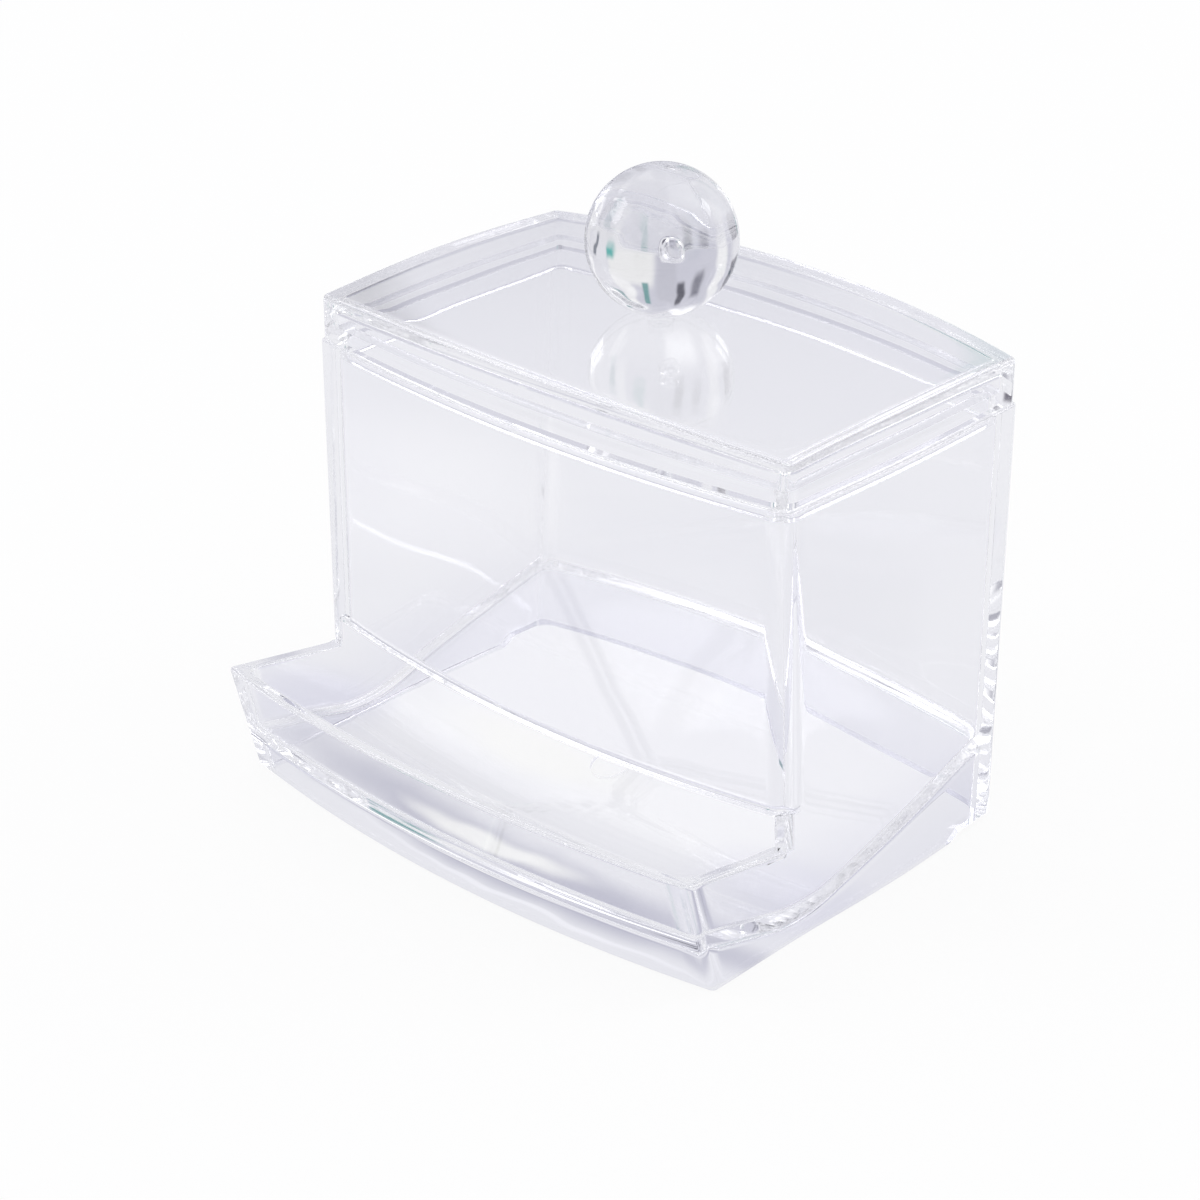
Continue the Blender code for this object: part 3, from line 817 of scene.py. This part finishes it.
def paper_floor():
    material = bpy.data.materials.new("white_paper")
    material.use_nodes = True
    tree = material.node_tree
    paper = tree.nodes["Principled BSDF"]
    paper.inputs["Roughness"].default_value = 0.9
    paper.inputs["Base Color"].default_value = (0.9, 0.9, 0.92, 1.0)
    glow = add_node(tree, "ShaderNodeEmission", values={"Strength": 1.0})
    glow_colour = add_node(tree, "ShaderNodeMix", {"data_type": "RGBA"},
                           {"A": (1.0, 1.0, 1.0, 1.0)})
    mix = add_node(tree, "ShaderNodeMixShader")
    join(tree, (light_path_share(tree, 0.0, 1.0, 1.0), glow_colour.inputs["Factor"]),
         (floor_seen_through_plastic(tree), glow_colour.inputs["B"]),
         (glow_colour.outputs["Result"], glow.inputs["Color"]),
         (light_path_share(tree, GLOW_SEEN_DIRECTLY, GLOW_THROUGH_PLASTIC, GLOW_THROUGH_PLASTIC),
          mix.inputs["Fac"]),
         (paper.outputs["BSDF"], mix.inputs[1]), (glow.outputs["Emission"], mix.inputs[2]))

    distance = add_node(tree, "ShaderNodeVectorMath", {"operation": "LENGTH"})
    far = add_node(tree, "ShaderNodeMapRange", {"interpolation_type": "SMOOTHSTEP"},
                   {"From Min": TABLE_FADES_FROM, "From Max": TABLE_ENDS_AT})
    table_end = add_node(tree, "ShaderNodeMixShader")
    beyond = add_node(tree, "ShaderNodeBsdfTransparent")
    join(tree, (add_node(tree, "ShaderNodeTexCoord").outputs["Object"], distance.inputs[0]),
         (distance.outputs["Value"], far.inputs["Value"]),
         (math_node(tree, "MULTIPLY", far.outputs["Result"], light_path_share(tree, 0.0, 1.0, 1.0)),
          table_end.inputs["Fac"]),
         (mix.outputs["Shader"], table_end.inputs[1]),
         (beyond.outputs["BSDF"], table_end.inputs[2]),
         (table_end.outputs["Shader"], tree.nodes["Material Output"].inputs["Surface"]))
    return material


bm = bmesh.new()
bmesh.ops.create_grid(bm, x_segments=8, y_segments=8, size=FLOOR_HALF_SIZE)
floor = new_object("studio_floor", bm)
floor.data.materials.append(paper_floor())
print("floor:", 2 * FLOOR_HALF_SIZE, "m wide, with", len(PATCHES), "patches")

# %% [markdown]
# The ball is a lens that turns the whole horizon upside down. In a real studio that horizon is a
# row of stands, gaps and window posts, and they become the dark upright streaks in the ball. Here
# each of them is a soft-edged bar in the sky, at a compass direction and between two heights. A
# node group makes the bar's mask. The sky that lights matt things stays plain, and seen directly
# it is as white as the floor, so that no horizon shows behind the object.
#
# A panorama of a room would do the same, but nobody could change it. A list of bars can be edited
# one streak at a time.


# %% The node group for a bar in the sky
def sky_bar_group():
    group = bpy.data.node_groups.new("sky_bar", "ShaderNodeTree")
    for name in ("Azimuth", "Elevation", "Centre", "Half Width", "Lowest", "Highest", "Edge"):
        group.interface.new_socket(name, in_out="INPUT", socket_type="NodeSocketFloat")
    group.interface.new_socket("Mask", in_out="OUTPUT", socket_type="NodeSocketFloat")
    given = add_node(group, "NodeGroupInput").outputs
    result = add_node(group, "NodeGroupOutput")

    def inside(distance, edge):
        """1 where the distance is below zero, fading to 0 across the edge."""
        fade = add_node(group, "ShaderNodeMapRange", {"interpolation_type": "SMOOTHSTEP"},
                        {"From Max": 0.0})
        join(group, (distance, fade.inputs["Value"]), (edge, fade.inputs["From Min"]))
        return fade.outputs["Result"]

    away = math_node(group, "SUBTRACT", given["Azimuth"], given["Centre"])
    away = math_node(group, "ABSOLUTE", away)
    across = inside(math_node(group, "SUBTRACT", away, given["Half Width"]), given["Edge"])
    tall_edge = math_node(group, "MULTIPLY", given["Edge"], 2.0)
    below = inside(math_node(group, "SUBTRACT", given["Lowest"], given["Elevation"]), tall_edge)
    above = inside(math_node(group, "SUBTRACT", given["Elevation"], given["Highest"]), tall_edge)
    mask = math_node(group, "MULTIPLY", across, math_node(group, "MULTIPLY", below, above))
    join(group, (mask, result.inputs["Mask"]))
    return group


# %% The sky
SKY = (0.86, 0.86, 0.90)
SKY_ON_MATT_THINGS = (0.85, 0.85, 0.86)
SKY_SEEN_DIRECTLY = (0.99, 0.99, 0.99)
# (direction, half width, lowest, highest, soft edge in degrees, colour), from under to over
BARS = [(-128, 34, -40, 26, 10, (0.66, 0.66, 0.74)), (-124, 7, 43, 49, 7, (1.5, 1.5, 1.5)),
        (-178, 4, 38, 55, 3, (1.3, 1.3, 1.3)), (-156, 9, -40, 2, 5, (0.95, 0.95, 0.94)),
        (-172, 2, 20, 34, 3, (0.20, 0.34, 0.36)), (-163, 2.5, 6, 30, 4, (1.0, 1.0, 1.0)),
        (-166, 1.5, -19, -11, 2.5, (0.10, 0.48, 0.44)),
        (-3.4, 1.4, -22, -8, 1.6, (0.20, 0.22, 0.26)),
        (-150, 1.0, 6, 24, 2, (0.16, 0.36, 0.36)), (-137, 4, -40, 18, 4, (0.60, 0.60, 0.67)),
        (-128, 1.2, 6, 24, 2.5, (0.08, 0.08, 0.11)), (-117, 1.4, 6, 18, 4, (0.22, 0.22, 0.27)),
        (-101, 3, -40, 34, 4, (1.0, 1.0, 1.0)), (-80, 8, 4, 27, 2, (0.12, 0.11, 0.15)),
        (-92, 6, 32, 50, 3, (1.3, 1.3, 1.3)), (-40, 5, 4, 30, 4, (0.40, 0.40, 0.46)),
        (-22, 8, 5, 40, 4, (1.2, 1.2, 1.2))]


def white_room():
    """Each bar stands twice, on opposite sides of the room, so that every view has some."""
    world = bpy.data.worlds.new("white_room")
    world.use_nodes = True
    tree = world.node_tree
    bar_group = sky_bar_group()
    parts = add_node(tree, "ShaderNodeSeparateXYZ")
    join(tree, (add_node(tree, "ShaderNodeTexCoord").outputs["Generated"], parts.inputs[0]))
    backwards = math_node(tree, "MULTIPLY", parts.outputs["Y"], -1.0)
    turn = math_node(tree, "ARCTAN2", parts.outputs["X"], backwards)
    turn = math_node(tree, "DIVIDE", turn, math.pi)
    half_turn = math_node(tree, "MULTIPLY_ADD", math_node(tree, "FRACT", turn), 180.0, -180.0)
    elevation = math_node(tree, "DEGREES", math_node(tree, "ARCSINE", parts.outputs["Z"]))
    colour = None
    for centre, half_width, lowest, highest, edge, bar_colour in BARS:
        bar = add_node(tree, "ShaderNodeGroup", {"node_tree": bar_group},
                       {"Centre": centre, "Half Width": half_width, "Lowest": lowest,
                        "Highest": highest, "Edge": edge})
        layer = add_node(tree, "ShaderNodeMix", {"data_type": "RGBA"},
                         {"A": (*SKY, 1.0), "B": (*bar_colour, 1.0)})
        join(tree, (half_turn, bar.inputs["Azimuth"]), (elevation, bar.inputs["Elevation"]),
             (bar.outputs["Mask"], layer.inputs["Factor"]))
        if colour:
            join(tree, (colour, layer.inputs["A"]))
        colour = layer.outputs["Result"]
    plain = add_node(tree, "ShaderNodeMix", {"data_type": "RGBA"},
                     {"A": (*SKY_ON_MATT_THINGS, 1.0)})
    seen = add_node(tree, "ShaderNodeMix", {"data_type": "RGBA"},
                    {"B": (*SKY_SEEN_DIRECTLY, 1.0)})
    join(tree, (light_path_share(tree, 0.0, 1.0, 1.0), plain.inputs["Factor"]),
         (colour, plain.inputs["B"]),
         (light_path_share(tree, 1.0, 0.0, 0.0), seen.inputs["Factor"]),
         (plain.outputs["Result"], seen.inputs["A"]),
         (seen.outputs["Result"], tree.nodes["Background"].inputs["Color"]))
    return world


bpy.context.scene.world = white_room()
print("bars in the sky:", len(BARS))

# %% [markdown]
# Two softboxes light the set. A rounded edge turns through every direction, so each edge finds a
# softbox somewhere and draws it as a thin bright line. One box stands high on the left of the
# viewer for the front edges, and one behind on the right for the side edges.


# %% The softboxes
def direction_to(azimuth, elevation):
    """The direction from the object to a place in the studio. Azimuth 0 is the tray's side."""
    a, e = math.radians(azimuth), math.radians(elevation)
    return Vector((math.sin(a) * math.cos(e), -math.cos(a) * math.cos(e), math.sin(e)))


def softbox(name, azimuth, elevation, distance, width, height, power):
    lamp = bpy.data.lights.new(name, "AREA")
    lamp.shape = "RECTANGLE"
    lamp.size, lamp.size_y = width, height
    lamp.energy = power
    box = bpy.data.objects.new(name, lamp)
    away = direction_to(azimuth, elevation)
    box.location = away * distance
    box.rotation_euler = away.to_track_quat("Z", "Y").to_euler()
    bpy.context.scene.collection.objects.link(box)
    print(name, "at", [round(value, 2) for value in box.location], "with", power, "W")


for name, azimuth, elevation in (("softbox_left", -53, 41), ("softbox_right_back", 145, 37)):
    softbox(name, azimuth, elevation, distance=1.5, width=0.7, height=0.5, power=3.0)

# %% [markdown]
# ## The camera
#
# A camera can be fitted to a photograph: its direction, distance and lens are changed until the
# corners of the model fall on the corners in the picture. That gave these numbers. The long lens
# keeps upright edges nearly parallel. The plain view transform shows colours as they are written.

# %% The camera
CAMERA_AZIMUTH, CAMERA_ELEVATION = 42.82, 26.86
CAMERA_DISTANCE = 0.4673
LENS_IN_PIXELS, PHOTO_WIDTH_IN_PIXELS = 3176.1, 1200
SENSOR_WIDTH = 36.0

view_back = direction_to(CAMERA_AZIMUTH, CAMERA_ELEVATION)
target = Vector((4.2, 8.1, 38.0)) * MM + Vector((0.0, HOPPER_FRONT_Y, 0.0))
camera_data = bpy.data.cameras.new("photo_camera")
camera_data.sensor_width = SENSOR_WIDTH
camera_data.lens = LENS_IN_PIXELS / PHOTO_WIDTH_IN_PIXELS * SENSOR_WIDTH
camera_data.clip_start = 0.01
camera = bpy.data.objects.new("photo_camera", camera_data)
bpy.context.scene.collection.objects.link(camera)
camera.location = target + view_back * CAMERA_DISTANCE
camera.rotation_euler = view_back.to_track_quat("Z", "Y").to_euler()
scene = bpy.context.scene
scene.camera = camera
scene.view_settings.view_transform = "Standard"
print("camera at", list(camera.location))

# %% [markdown]
# Light runs along inside clear walls and leaves at their edges after many reflections. If the paths
# are cut off too early, every edge turns black, so they may be longer here than by default.

# %% Longer light paths
LONGEST_PATH = 96
scene.cycles.max_bounces = LONGEST_PATH
scene.cycles.glossy_bounces = LONGEST_PATH
scene.cycles.transmission_bounces = LONGEST_PATH
print("a ray may bend or bounce", LONGEST_PATH, "times")
